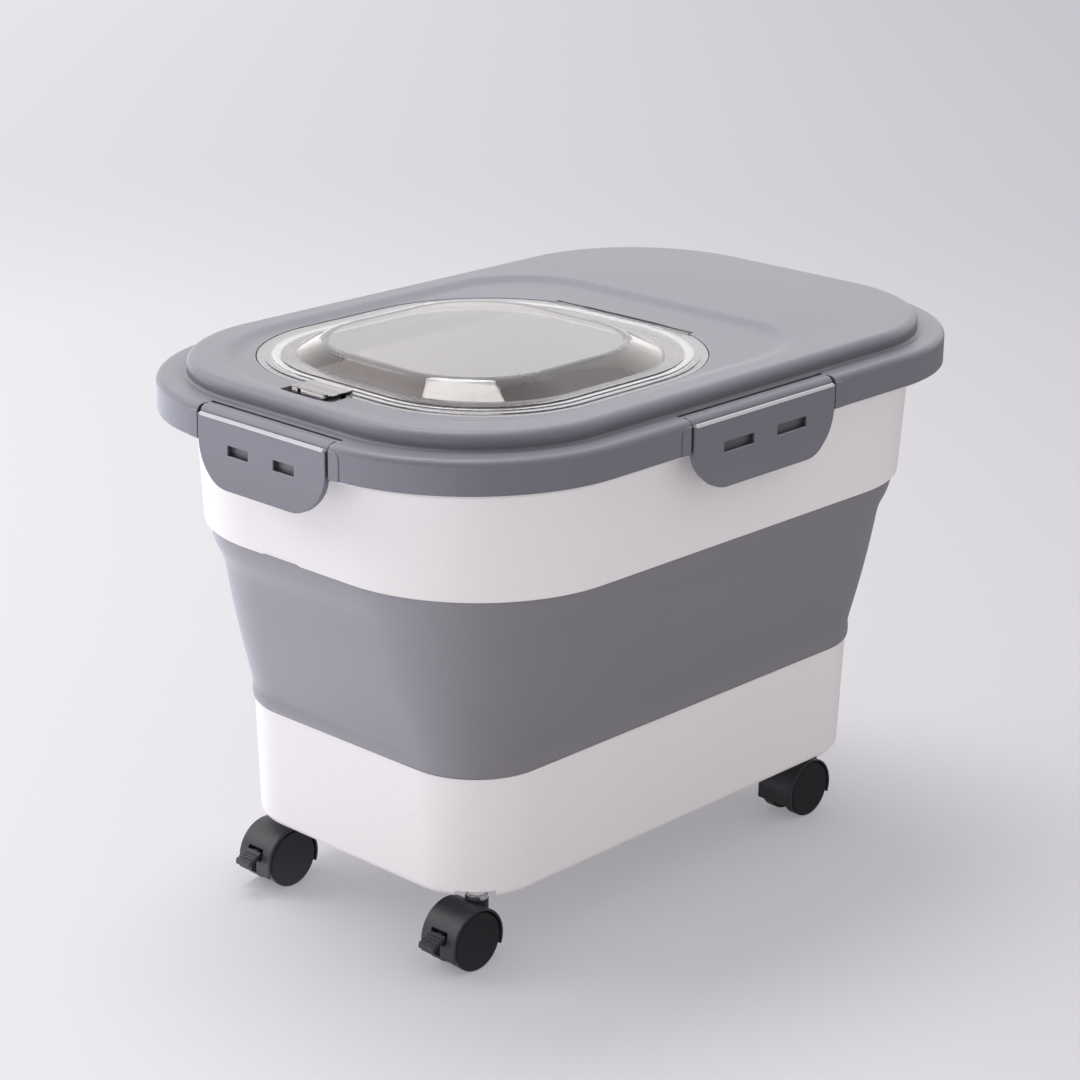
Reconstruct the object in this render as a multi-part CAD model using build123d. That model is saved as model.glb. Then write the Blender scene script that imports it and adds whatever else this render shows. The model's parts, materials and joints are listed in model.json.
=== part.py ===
from build123d import *
import os
from dataclasses import dataclass

# Collapsible pet food container on four twin-wheel casters.
# Millimetres. X is the width, Y the length and Z up, with the floor at Z = 0.
# The short side with the window's thumb tab is the front, at -Y.

# Lower tub
tub_ride_height = 43.0
tub_width = 200.0
tub_length = 340.0
tub_corner = 43.0
tub_side_taper = 2.4
tub_visible_height = 70.0
tub_wall = 2.5
tub_floor = 3.0
tub_foot_radius = 4.0
tub_foot_land = 3.0
tub_foot_depth = 4.0
corner_notch_width = 22.0

# Soft band between the tub and the upper frame
band_thickness = 2.2
band_lip_height = 9.5
band_lip_bulge = 1.8
band_cone_height = 79.0
band_shoulder_height = 19.5
band_spread = 32.0
band_top_inset = 2.0
band_crease_depth = 0.8
band_shoulder_inset = 9.0
band_cone_bulge = 1.2
band_bulge_height = 26.0
band_sleeve_height = 14.0
band_mould_gap = 0.05
band_frame_gap = 0.3

# Upper frame
frame_corner = 91.0
frame_flare = 3.5
frame_wall_height = 61.5
frame_wall = 2.5
flange_thickness = 2.5
flange_setback = 4.0
flange_corner = 98.0
collar_height = 5.0
finger_notch_width = 30.0
finger_notch_depth = 2.4
finger_notch_x = -13.0
finger_notch_inset = 1.3

# Lid
rim_overhang_side = 13.5
rim_overhang_end = 19.5
rim_corner = 102.0
rim_height = 18.0
rim_edge_radius = 3.5
lid_wall = 2.5
plateau_inset_side = 13.5
plateau_inset_end = 17.0
plateau_corner = 89.0
plateau_height = 9.5
plateau_edge_radius = 5.0
plateau_foot_radius = 1.5
skirt_gap = 1.2
skirt_thickness = 2.0
skirt_depth = 6.0
seal_shelf_thickness = 2.0
seal_rib_thickness = 1.8
seal_rib_depth = 5.6
seal_height = 3.4
seal_side_gap = 0.4
seal_seat_gap = 0.2

# Dish that the window lies in, with margins from the window's edge
dish_depth = 2.3
dish_side_margin = 1.5
dish_front_margin = 13.5
dish_rear_margin = 29.5
dish_rear_corner = 47.5
dish_front_corner_extra = 3.5
dish_slope_width = 8.5
dish_edge_radius = 14.0
dish_floor_radius = 16.0

# Window cover, with margins from the plateau's edge
window_side_margin = 26.5
window_front_margin = 32.0
window_length = 228.0
window_front_straight = 58.0
window_rear_straight = 42.0
window_thickness = 2.5
window_sink = 0.2
window_edge_gap = 0.7
window_seat_width = 13.0
window_seat_thickness = 2.5
window_step_width = 4.0
window_step_height = 0.5
window_step_count = 3
window_skirt_gap = 2.0
window_skirt_thickness = 2.0
window_skirt_depth = 5.0
gasket_width = 5.0
gasket_thickness = 0.9
gasket_gap = 0.1

# Window hinge
hinge_inset = 3.7
hinge_axis_drop = 2.1
hinge_barrel_radius = 2.2
hinge_barrel_length = 103.0
hinge_stub_radius = 1.3
hinge_stub_length = 3.0
hinge_end_gap = 0.5
hinge_pocket_gap = 1.0
hinge_pocket_wall = 2.5
hinge_strip_width = 9.2
hinge_line_count = 3
hinge_line_pitch = 2.4
hinge_line_width = 0.6
hinge_line_depth = 0.4

# Dome of the window cover, with margins from the window's edge and runs up to its flat crown
dome_side_margin = 16.0
dome_front_margin = 19.0
dome_rear_margin = 28.0
dome_corner = 66.0
dome_height = 10.0
dome_wall = 2.2
crown_side_run = 20.0
crown_front_run = 13.0
crown_rear_run = 20.0
crown_corner = 50.0
crown_edge_radius = 8.0

# Thumb tab and the finger pocket under it
tab_x = -5.0
tab_width = 30.0
tab_reach = 13.0
tab_overlap = 8.0
tab_rise = 2.0
tab_thickness = 2.4
tab_corner = 5.0
tab_lip_width = 1.8
tab_lip_height = 0.8
tab_lip_drop = 2.4
pocket_width = 38.0
pocket_length = 21.0
pocket_corner = 8.0
pocket_depth = 9.0
pocket_wall = 2.0
pocket_overlap = 2.0

# Latches
latch_side_length = 117.0
latch_end_length = 97.0
latch_thickness = 3.0
latch_flange_depth = 9.0
latch_stand_out = 1.0
latch_drop = 40.5
latch_flare_height = 24.0
latch_flare = 2.2
latch_corner_radius = 23.0
latch_corner_rise = 14.0
latch_corner_side_run = 17.0
latch_corner_end_run = 15.0
latch_ledge_drop = 3.6
latch_ledge_width = 1.8
latch_shoulder_run = 4.4
latch_side_shift = 4.0
latch_edge_radius = 0.8
latch_pivot_radius = 2.7
latch_barrel_extra = 1.2
latch_stub_radius = 1.6
latch_stub_length = 2.2
latch_slot_height = 5.6
latch_slot_drop = 19.4
latch_slot_side_length = 24.5
latch_slot_side_spacing = 44.0
latch_slot_end_length = 15.8
latch_slot_end_spacing = 35.0
latch_bead_height = 2.6
latch_bead_drop = 1.2
latch_slot_backing = 1.2
latch_backing_rise = 1.0
latch_release_gap = 0.3
notch_end_gap = 0.3
notch_wall_offset = 1.4
notch_wall = 2.5
notch_clearance = 0.3
notch_mouth_relief = 0.4
notch_floor = 2.5
boss_width = 7.0
boss_height = 15.0
boss_rise = 0.35
boss_corner = 4.0

# Casters
caster_inset_side = 23.5
caster_inset_end = 24.7
caster_trail = 11.0
wheel_radius = 16.8
wheel_thickness = 7.4
wheel_core_depth = 5.6
wheel_hub_radius = 5.5
wheel_tread_thickness = 2.5
wheel_edge_radius = 1.2
wheel_side_gap = 0.4
axle_radius = 2.5
axle_end_gap = 0.2
running_gap = 0.08
web_thickness = 9.0
hood_wall = 1.3
hood_wheel_gap = 0.9
hood_side_lip = 0.3
hood_edge_radius = 0.6
hood_lower_edge = 10.5
neck_radius = 6.5
neck_drop = 7.0
neck_gap = 0.3
collar_radius = 6.4
collar_thickness = 2.4
collar_socket_gap = 0.2
stem_radius = 4.0
stem_pin_radius = 3.0
stem_pin_depth = 11.0
stem_grip_height = 21.0
socket_wall = 3.5
socket_nose_wall = 1.2
socket_roof = 2.5
socket_head_gap = 1.0
grip_groove_depth = 0.6
grip_ring_width = 1.6
grip_ring_drop = 4.0

# Caster brakes, on the two front casters only
brake_pivot_back = 12.0
brake_pivot_rise = 4.0
brake_pin_radius = 1.2
brake_boss_radius = 3.0
brake_arm_width = 3.6
brake_side_gap = 0.3
brake_pad_width = 11.0
brake_pad_reach = 9.2
brake_pad_drop = 4.2
brake_pad_thickness = 2.6
brake_pad_top = 7.4
brake_rib_count = 4
brake_rib_pitch = 1.9
brake_rib_width = 0.8
brake_rib_height = 0.5
brake_gusset_drop = 4.0
brake_slot_top = 9.0
brake_slot_step = 2.4
brake_slot_bottom = -5.5
brake_slot_gap = 0.6
brake_cavity_front = 5.5
brake_cavity_bottom = -6.5
brake_toe_depth = 6.5

# Cuts run this far past the face that they open, and edges this close to a line lie on it
past = 2.0
touch = 0.01


@dataclass(frozen=True)
class Outline:
    """Rounded rectangle seen from above, centred at X = 0, with its front corners rounder by an excess."""

    width: float
    length: float
    corner: float
    y: float = 0.0
    front_excess: float = 0.0

    def grown(self, amount):
        """The same outline moved outward by an amount."""
        return Outline(
            self.width + 2 * amount,
            self.length + 2 * amount,
            self.corner + amount,
            self.y,
            self.front_excess,
        )

    def towards(self, other, share):
        """An outline part of the way to another one."""
        keep = 1 - share
        return Outline(
            keep * self.width + share * other.width,
            keep * self.length + share * other.length,
            keep * self.corner + share * other.corner,
            keep * self.y + share * other.y,
            keep * self.front_excess + share * other.front_excess,
        )

    def at(self, z):
        """The outline as a flat sketch at a height."""
        sheet = Rectangle(self.width, self.length)
        sheet = fillet(sheet.vertices().group_by(Axis.Y)[-1], self.corner)
        sheet = fillet(sheet.vertices().group_by(Axis.Y)[0], self.corner + self.front_excess)
        return Pos(0, self.y, z) * sheet


# Heights that follow from the sizes above
tub_bottom = tub_ride_height
tub_floor_underside = tub_bottom + tub_foot_depth
tub_floor_top = tub_floor_underside + tub_floor
lip_bottom = tub_bottom + tub_visible_height
crease = lip_bottom + band_lip_height
tub_top = crease - band_thickness
shoulder = crease + band_cone_height
frame_bottom = shoulder + band_shoulder_height
flange_bottom = frame_bottom + frame_wall_height
rim_bottom = flange_bottom + flange_thickness
frame_top = rim_bottom + collar_height
rim_top = rim_bottom + rim_height
plateau_top = rim_top + plateau_height
dish_floor = plateau_top - dish_depth

# Outlines that follow from the sizes above
tub_rim = Outline(tub_width, tub_length, tub_corner)
tub_foot = tub_rim.grown(-tub_side_taper)
frame_foot = Outline(tub_width + 2 * band_spread, tub_length + 2 * band_spread, frame_corner)
frame_head = frame_foot.grown(frame_flare)
rim = Outline(
    frame_head.width + 2 * rim_overhang_side,
    frame_head.length + 2 * rim_overhang_end,
    rim_corner,
)
flange = Outline(rim.width - 2 * flange_setback, rim.length - 2 * flange_setback, flange_corner)
plateau = Outline(
    rim.width - 2 * plateau_inset_side,
    rim.length - 2 * plateau_inset_end,
    plateau_corner,
)
window_width = plateau.width - 2 * window_side_margin
window = Outline(
    window_width,
    window_length,
    (window_width - window_rear_straight) / 2,
    -plateau.length / 2 + window_front_margin + window_length / 2,
    (window_rear_straight - window_front_straight) / 2,
)
window_front = window.y - window.length / 2
window_rear = window.y + window.length / 2
window_opening = window.grown(-window_seat_width)
dome_foot = Outline(
    window.width - 2 * dome_side_margin,
    window.length - dome_front_margin - dome_rear_margin,
    dome_corner,
    window.y + (dome_front_margin - dome_rear_margin) / 2,
)
dome_crown = Outline(
    dome_foot.width - 2 * crown_side_run,
    dome_foot.length - crown_front_run - crown_rear_run,
    crown_corner,
    dome_foot.y + (crown_front_run - crown_rear_run) / 2,
)
dish = Outline(
    window.width + 2 * dish_side_margin,
    window.length + dish_front_margin + dish_rear_margin,
    dish_rear_corner,
    window.y + (dish_rear_margin - dish_front_margin) / 2,
    window.corner + window.front_excess + dish_front_corner_extra - dish_rear_corner,
)


def prism(shape, low, high):
    """Solid of one outline between two heights."""
    return extrude(shape.at(low), high - low)


def taper(shape_low, low, shape_high, high):
    """Solid that runs straight from one outline to another."""
    return loft([shape_low.at(low), shape_high.at(high)], ruled=True)


def box(x, y, z):
    """Box from three (low, high) pairs."""
    size = [high - low for low, high in (x, y, z)]
    centre = [(high + low) / 2 for low, high in (x, y, z)]
    return Pos(*centre) * Box(*size)


def rod_x(radius, start, end, y, z):
    """Cylinder along X."""
    return Pos((start + end) / 2, y, z) * Rot(0, 90, 0) * Cylinder(radius, end - start)


def rod_z(radius, low, high, x=0.0, y=0.0):
    """Upright cylinder."""
    return Pos(x, y, (low + high) / 2) * Cylinder(radius, high - low)


def edges_on(part, shape, z):
    """Edges of a part that lie along an outline at one height."""
    level = part.edges().filter_by_position(Axis.Z, z - touch, z + touch)
    wire = shape.at(z).face().outer_wire()
    return [edge for edge in level if wire.distance_to(Vertex(*edge.center())) < touch]


# Casters stand at the tub's corners
tub_half_width = tub_foot.width / 2
tub_half_length = tub_foot.length / 2
caster_x = tub_half_width - caster_inset_side
caster_y = tub_half_length - caster_inset_end
caster_places = {
    "front_left": (-caster_x, -caster_y),
    "front_right": (caster_x, -caster_y),
    "rear_left": (-caster_x, caster_y),
    "rear_right": (caster_x, caster_y),
}

# Heights up a caster's stem
hood_radius = wheel_radius + hood_wheel_gap + hood_wall
neck_top = tub_bottom - neck_drop
collar_bottom = neck_top + neck_gap
collar_top = collar_bottom + collar_thickness
socket_mouth = collar_top + collar_socket_gap
stem_top = socket_mouth + stem_grip_height
socket_end = stem_top + socket_head_gap


def lower_tub():
    """Rigid white tub with a foot ring, caster sockets and a neck for the soft band."""
    outer = taper(tub_foot, tub_bottom, tub_rim, lip_bottom)
    outer = fillet(outer.edges().group_by(Axis.Z)[0], tub_foot_radius)
    neck_outline = tub_rim.grown(-band_thickness + band_lip_bulge / 2)
    tub = outer + prism(neck_outline, lip_bottom - past, tub_top)
    inner_foot = tub_foot.grown(-tub_wall)
    inner_rim = neck_outline.grown(-tub_wall)
    tub -= taper(inner_foot, tub_floor_top, inner_rim, tub_top + past)
    recess = tub_foot.grown(-tub_foot_radius - tub_foot_land)
    tub -= prism(recess, tub_bottom - past, tub_floor_underside)
    for x, y in caster_places.values():
        tub += rod_z(stem_radius + socket_wall, tub_floor_underside, socket_end + socket_roof, x, y)
        tub += rod_z(stem_radius + socket_nose_wall, socket_mouth, tub_floor_top, x, y)
        tub -= rod_z(stem_radius + running_gap, socket_mouth - past, socket_end, x, y)
        tub -= corner_notch(x, y)
    return tub


def corner_notch(x, y):
    """Gap in the foot ring beside one caster, square to the corner's diagonal."""
    side_x = 1 if x > 0 else -1
    side_y = 1 if y > 0 else -1
    arc_x = side_x * (tub_half_width - tub_foot.corner)
    arc_y = side_y * (tub_half_length - tub_foot.corner)
    reach = tub_foot.corner + past
    depth = tub_foot_radius + tub_foot_land + 2 * past
    angle = {(1, 1): 45, (-1, 1): 135, (-1, -1): 225, (1, -1): 315}[(side_x, side_y)]
    cut = box(
        (reach - depth, reach),
        (-corner_notch_width / 2, corner_notch_width / 2),
        (tub_bottom - past, tub_floor_underside),
    )
    return Pos(arc_x, arc_y, 0) * Rot(0, 0, angle) * cut


def band_profile():
    """Outlines of the soft band's outer face, from its lip up to the frame, as (outline, height)."""
    crease_outline = tub_rim.grown(band_lip_bulge - band_crease_depth)
    shoulder_outline = frame_foot.grown(-band_shoulder_inset)
    upper = frame_foot.grown(-band_top_inset)
    bulge_share = band_bulge_height / band_cone_height
    bulge_outline = crease_outline.towards(shoulder_outline, bulge_share).grown(band_cone_bulge)
    return [
        (tub_rim.grown(band_lip_bulge / 2), lip_bottom + band_frame_gap),
        (tub_rim.grown(band_lip_bulge), lip_bottom + band_lip_height / 4),
        (tub_rim.grown(band_lip_bulge), crease - band_lip_height / 4),
        (crease_outline, crease),
        (bulge_outline, crease + band_bulge_height),
        (shoulder_outline, shoulder),
        (upper.grown(-band_thickness), shoulder + band_shoulder_height / 3),
        (upper, frame_bottom - band_frame_gap),
    ]


def collapsible_band():
    """Soft grey band moulded over the tub's neck, folding inward as the frame comes down."""
    profile = band_profile()
    outer = None
    for (low_outline, low), (high_outline, high) in zip(profile, profile[1:]):
        ring = taper(low_outline, low, high_outline, high)
        outer = ring if outer is None else outer + ring
    frame_share = (band_sleeve_height - band_frame_gap) / frame_wall_height
    sleeve_low = frame_foot.grown(-frame_wall - band_frame_gap)
    sleeve_high = frame_foot.towards(frame_head, frame_share).grown(-frame_wall - band_frame_gap)
    sleeve_top = frame_bottom + band_sleeve_height
    outer += taper(sleeve_low, frame_bottom - band_frame_gap, sleeve_high, sleeve_top)

    neck = tub_rim.grown(-band_thickness + band_lip_bulge / 2 + band_mould_gap)
    crease_inner = neck.grown(-tub_wall)
    shoulder_inner = frame_foot.grown(-band_shoulder_inset - band_thickness)
    band = outer - prism(neck, lip_bottom - past, tub_top + band_mould_gap)
    band -= prism(crease_inner, tub_top, crease)
    band -= taper(crease_inner, crease, shoulder_inner, shoulder)
    band -= taper(
        shoulder_inner, shoulder, sleeve_low.grown(-band_thickness), frame_bottom - band_frame_gap
    )
    band -= taper(
        sleeve_low.grown(-band_thickness),
        frame_bottom - band_frame_gap,
        sleeve_high.grown(-band_thickness),
        sleeve_top,
    )
    return band


def upper_frame():
    """Rigid white frame with the flange that the lid's latches catch on."""
    outer = taper(frame_foot, frame_bottom, frame_head, flange_bottom)
    frame = outer + prism(flange, flange_bottom, rim_bottom)
    frame += prism(frame_head, rim_bottom, frame_top)
    frame -= taper(
        frame_foot.grown(-frame_wall), frame_bottom, frame_head.grown(-frame_wall), flange_bottom
    )
    frame -= prism(frame_head.grown(-frame_wall), flange_bottom, frame_top)
    return frame - finger_notch()


def finger_notch():
    """Shallow arched notch in the front of the frame's lower edge, through part of its wall."""
    half = finger_notch_width / 2
    start = (-half, 0)
    middle = (0, finger_notch_depth)
    end = (half, 0)
    arch = make_face(ThreePointArc(start, middle, end) + Line(end, start))
    front = -frame_foot.length / 2
    plane = Plane(
        origin=(finger_notch_x, front + finger_notch_inset, frame_bottom),
        x_dir=(1, 0, 0),
        z_dir=(0, -1, 0),
    )
    return extrude(plane * arch, finger_notch_inset + past)


def latch_profile():
    """Side view of a latch: U outward from the rim's face, Z up, as a face in the XZ plane."""
    out = latch_stand_out
    inner = out - latch_thickness
    top = rim_top
    ledge = top - latch_ledge_drop
    ledge_start = out - latch_ledge_width
    shoulder_start = ledge_start - latch_shoulder_run
    bottom = top - latch_drop
    flare_start = bottom + latch_flare_height
    back = out - latch_flange_depth
    under = top - latch_thickness
    outline = Line((back, top), (shoulder_start, top))
    outline += TangentArc((shoulder_start, top), (ledge_start, ledge), tangent=(1, 0))
    outline += Line((ledge_start, ledge), (out, ledge))
    outline += Line((out, ledge), (out, flare_start))
    outline += TangentArc((out, flare_start), (out + latch_flare, bottom), tangent=(0, -1))
    outline += Line((out + latch_flare, bottom), (inner + latch_flare, bottom))
    outline += TangentArc((inner, flare_start), (inner + latch_flare, bottom), tangent=(0, -1))
    outline += Line((inner, flare_start), (inner, under - latch_thickness))
    outline += Line((inner, under - latch_thickness), (inner - latch_thickness, under))
    outline += Line((inner - latch_thickness, under), (back, under))
    outline += Line((back, under), (back, top))
    face = make_face(outline)
    return Plane(origin=(0, 0, 0), x_dir=(1, 0, 0), z_dir=(0, -1, 0)) * face


def latch_front_view(length, corner_run):
    """Front view of a latch, with its two lower corners cut off and rounded, in the YZ plane."""
    top = rim_top
    bottom = top - latch_drop
    corner_top = bottom + latch_corner_rise
    half = length / 2
    foot = half - corner_run
    right = [(half, top), (half, corner_top), (foot, bottom)]
    left = [(-y, z) for y, z in reversed(right)]
    face = make_face(Polyline(*right, *left, close=True))
    lower = [vertex for vertex in face.vertices() if vertex.Y < corner_top + touch]
    face = fillet(lower, latch_corner_radius)
    return Plane(origin=(0, 0, 0), x_dir=(0, 1, 0), z_dir=(1, 0, 0)) * face


# The latch pivot lies at the inner end of its flange, level with the rim's top
latch_pivot_u = latch_stand_out - latch_flange_depth
latch_pivot_z = rim_top - latch_pivot_radius


def latch(length, corner_run, slot_length, slot_spacing):
    """One latch on the right-hand side, with X = 0 at the rim's face."""
    plate = extrude(latch_profile(), length / 2, both=True)
    ledge = rim_top - latch_ledge_drop
    ledge_edge = [
        edge
        for edge in plate.edges()
        if abs(edge.center().Z - ledge) < touch and abs(edge.center().X - latch_stand_out) < touch
    ]
    plate = fillet(ledge_edge, latch_edge_radius)
    depth = latch_flange_depth + latch_flare + past
    plate = plate & extrude(latch_front_view(length, corner_run), depth, both=True)
    slot_top = rim_top - latch_slot_drop + latch_slot_height / 2
    slot_bottom = slot_top - latch_slot_height
    inner = latch_stand_out - latch_thickness
    bead_tip = -flange_setback + latch_release_gap
    bead_top = slot_bottom - latch_bead_drop
    backing_top = slot_top + latch_backing_rise
    for side in (-1, 1):
        middle = side * slot_spacing / 2
        span = (middle - slot_length / 2, middle + slot_length / 2)
        wide = (span[0] - latch_backing_rise, span[1] + latch_backing_rise)
        plate += box((inner - latch_slot_backing, inner + touch), wide, (bead_top, backing_top))
        plate -= box((inner, latch_stand_out + latch_flare), span, (slot_bottom, slot_top))
        bead = ((bead_tip, inner + latch_thickness / 2), span, (bead_top - latch_bead_height, bead_top))
        plate += box(*bead)
    barrel_half = length / 2 + latch_barrel_extra
    stub_half = barrel_half + notch_end_gap + latch_stub_length
    centre = Pos(latch_pivot_u, 0, latch_pivot_z) * Rot(90, 0, 0)
    plate += centre * Cylinder(latch_pivot_radius, 2 * barrel_half)
    plate += centre * Cylinder(latch_stub_radius, 2 * stub_half)
    return plate


def latch_notch(length):
    """Solids to add to and cut from the lid for one right-hand latch, as (block, cut)."""
    half = length / 2 + latch_barrel_extra + notch_end_gap
    stub_end = half + latch_stub_length
    block_half = stub_end + notch_wall
    radius = latch_pivot_radius + notch_clearance
    back = latch_pivot_u - radius
    floor_top = latch_pivot_z - radius
    inner = latch_stand_out - latch_thickness
    wall_face = -flange_setback + latch_release_gap - notch_wall_offset
    block_bottom = rim_bottom + seal_seat_gap
    block = box((back - notch_wall, 0), (-block_half, block_half), (block_bottom, rim_top))
    hollow = box(
        (back - notch_wall - past, wall_face - notch_wall),
        (-half, half),
        (rim_bottom - past, floor_top - notch_floor),
    )
    block -= hollow
    outside = inner + rim_overhang_end
    plate_space = box((wall_face, outside), (-half, half), (rim_bottom - past, rim_top + past))
    flange_space = box((latch_pivot_u, inner), (-half, half), (floor_top, rim_top + past))
    centre = Pos(latch_pivot_u, 0, latch_pivot_z) * Rot(90, 0, 0)
    barrel_space = centre * Cylinder(radius, 2 * half)
    mouth = box((back - notch_mouth_relief, latch_pivot_u), (-half, half), (latch_pivot_z, rim_top + past))
    bores = centre * Cylinder(latch_stub_radius + running_gap, 2 * (stub_end + notch_end_gap))
    return block, plate_space + flange_space + barrel_space + mouth + bores


def latch_bosses(length):
    """Raised pads on the rim's face either side of one right-hand latch."""
    start = length / 2 + latch_barrel_extra + notch_end_gap
    depth = rim_overhang_side / 2
    pad = box((-depth, past), (start, start + boss_width), (rim_bottom, rim_bottom + boss_height))
    upper = pad.edges().filter_by(Axis.X).group_by(Axis.Z)[-1]
    pad = fillet(upper.sort_by(Axis.Y)[-1], boss_corner)
    return pad + mirror(pad, about=Plane.XZ)


# Where each latch goes: turn about Z, distance of the rim's face, shift along it, latch size
side_latch_size = (
    latch_side_length,
    latch_corner_side_run,
    latch_slot_side_length,
    latch_slot_side_spacing,
)
end_latch_size = (
    latch_end_length,
    latch_corner_end_run,
    latch_slot_end_length,
    latch_slot_end_spacing,
)
latch_places = {
    "right": (0, rim.width / 2, -latch_side_shift, side_latch_size),
    "left": (180, rim.width / 2, latch_side_shift, side_latch_size),
    "rear": (90, rim.length / 2, 0, end_latch_size),
    "front": (270, rim.length / 2, 0, end_latch_size),
}


def latch_frame(turn, reach, shift):
    """Move from the latch's own frame to its side of the lid."""
    return Rot(0, 0, turn) * Pos(reach, shift, 0)


# Heights and outlines inside the lid
ring_top = dish_floor - window_sink
ring_bottom = ring_top - window_thickness
seat_top = ring_bottom - gasket_gap - gasket_thickness
seat_bottom = seat_top - window_seat_thickness
rim_ceiling = rim_top - lid_wall
plateau_ceiling = plateau_top - lid_wall
seal_bottom = frame_top + seal_seat_gap
shelf_bottom = seal_bottom + seal_height
shelf_top = shelf_bottom + seal_shelf_thickness
skirt_outer = frame_head.grown(-frame_wall - skirt_gap)
seal_inner = skirt_outer.grown(seal_side_gap)
rib_inner = frame_head.grown(skirt_gap)
seal_outer = rib_inner.grown(-seal_side_gap)
window_pocket = window.grown(window_edge_gap)
hinge_axis_y = window_rear - hinge_inset
hinge_axis_z = dish_floor - hinge_axis_drop
hinge_half = hinge_barrel_length / 2
hinge_pocket_half = hinge_half + hinge_end_gap
hinge_pocket_radius = hinge_barrel_radius + hinge_pocket_gap
hinge_pocket_floor = hinge_axis_z - hinge_barrel_radius - hinge_end_gap
tab_front = window_front - tab_reach
pocket_centre_y = window_front + pocket_overlap - pocket_length / 2
pocket_floor = dish_floor - pocket_depth


def lid_outside():
    """Outer form of the lid: rim, raised plateau and the dish for the window."""
    lower = prism(rim, rim_bottom, rim_top)
    lower = fillet(lower.edges().group_by(Axis.Z)[-1], rim_edge_radius)
    upper = prism(plateau, rim_top - lid_wall, plateau_top)
    upper = fillet(upper.edges().group_by(Axis.Z)[-1], plateau_edge_radius)
    body = lower + upper
    body = fillet(edges_on(body, plateau, rim_top), plateau_foot_radius)
    dish_edge = dish.grown(dish_slope_width)
    body -= taper(dish, dish_floor, dish_edge, plateau_top)
    body = fillet(edges_on(body, dish_edge, plateau_top), dish_edge_radius)
    return fillet(edges_on(body, dish, dish_floor), dish_floor_radius)


def lid_hollow():
    """Space under the lid, clear of the dish, the window seat and the pockets."""
    space = prism(rim.grown(-lid_wall), rim_bottom - past, rim_ceiling)
    space += prism(plateau.grown(-lid_wall), rim_ceiling - past, plateau_ceiling)
    dish_keep = taper(
        dish.grown(lid_wall),
        dish_floor - lid_wall,
        dish.grown(dish_slope_width + lid_wall),
        plateau_ceiling,
    )
    space -= dish_keep
    space -= prism(window_pocket.grown(window_seat_thickness), seat_bottom, plateau_ceiling)
    space -= box(
        (-hinge_pocket_half - hinge_stub_length - hinge_pocket_wall,
         hinge_pocket_half + hinge_stub_length + hinge_pocket_wall),
        (hinge_axis_y - hinge_pocket_radius - hinge_pocket_wall,
         hinge_axis_y + hinge_pocket_radius + hinge_pocket_wall),
        (hinge_pocket_floor - hinge_pocket_wall, plateau_ceiling),
    )
    space -= finger_pocket(pocket_wall, pocket_floor - pocket_wall)
    return space


def finger_pocket(grow, low):
    """Rounded space in front of the window for a fingertip under the tab."""
    sketch = Pos(tab_x, pocket_centre_y, low) * RectangleRounded(
        pocket_width + 2 * grow, pocket_length + 2 * grow, pocket_corner + grow
    )
    return extrude(sketch, plateau_top - low)


def seal_channel():
    """Skirt that plugs into the frame, with the shelf and rib that hold the seal."""
    skirt_inner = skirt_outer.grown(-skirt_thickness)
    skirt_top = rim_ceiling + lid_wall / 2
    skirt = prism(skirt_outer, rim_bottom - skirt_depth, skirt_top)
    skirt -= prism(skirt_inner, rim_bottom - skirt_depth, skirt_top)
    rib_outer = rib_inner.grown(seal_rib_thickness)
    shelf = prism(rib_outer, shelf_bottom - seal_rib_depth, shelf_top)
    shelf -= prism(rib_inner, shelf_bottom - seal_rib_depth, shelf_bottom)
    shelf -= prism(skirt_inner, shelf_bottom - seal_rib_depth, shelf_top)
    return skirt + shelf


def lid_shell():
    """Grey lid with its rim, plateau, window seat, latch notches and seal channel."""
    lid = lid_outside() - lid_hollow()
    lid += seal_channel()
    envelope = prism(rim, rim_bottom, rim_top)
    envelope = fillet(envelope.edges().group_by(Axis.Z)[-1], rim_edge_radius)
    pad_envelope = prism(rim.grown(boss_rise), rim_bottom, rim_top)
    seal_space = prism(rib_inner, rim_bottom - past, shelf_bottom)
    for turn, reach, shift, size in latch_places.values():
        place = latch_frame(turn, reach, shift)
        block, cut = latch_notch(size[0])
        lid += ((place * block) & envelope) - seal_space
        lid += (place * latch_bosses(size[0])) & pad_envelope
        lid -= place * cut
    lid -= prism(window_pocket, seat_top, plateau_top)
    lid -= prism(window_opening, seat_bottom - past, plateau_top)
    lid -= box(
        (-hinge_pocket_half, hinge_pocket_half),
        (hinge_axis_y - hinge_pocket_radius - hinge_pocket_wall, hinge_axis_y + hinge_pocket_radius),
        (hinge_pocket_floor, plateau_top),
    )
    bore_half = hinge_pocket_half + hinge_stub_length + hinge_end_gap
    lid -= rod_x(hinge_stub_radius + running_gap, -bore_half, bore_half, hinge_axis_y, hinge_axis_z)
    lid -= finger_pocket(0, pocket_floor)
    return lid


def lid_seal():
    """Soft ring that sits on the frame's top edge."""
    return prism(seal_outer, seal_bottom, shelf_bottom) - prism(seal_inner, seal_bottom, shelf_bottom)


def window_seal():
    """Flat gasket that the window cover closes on."""
    inner = window_opening.grown(gasket_gap)
    outer = inner.grown(gasket_width)
    low = seat_top
    return prism(outer, low, low + gasket_thickness) - prism(inner, low, low + gasket_thickness)


def dome(inset):
    """Sloped dome with a flat crown on the window cover, moved inward by an inset."""
    foot = dome_foot.grown(-inset)
    crown = dome_crown.grown(-inset)
    low = ring_top - inset
    high = low + dome_height
    shape = taper(foot, low, crown, high)
    return fillet(edges_on(shape, crown, high), crown_edge_radius - inset)


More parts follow.
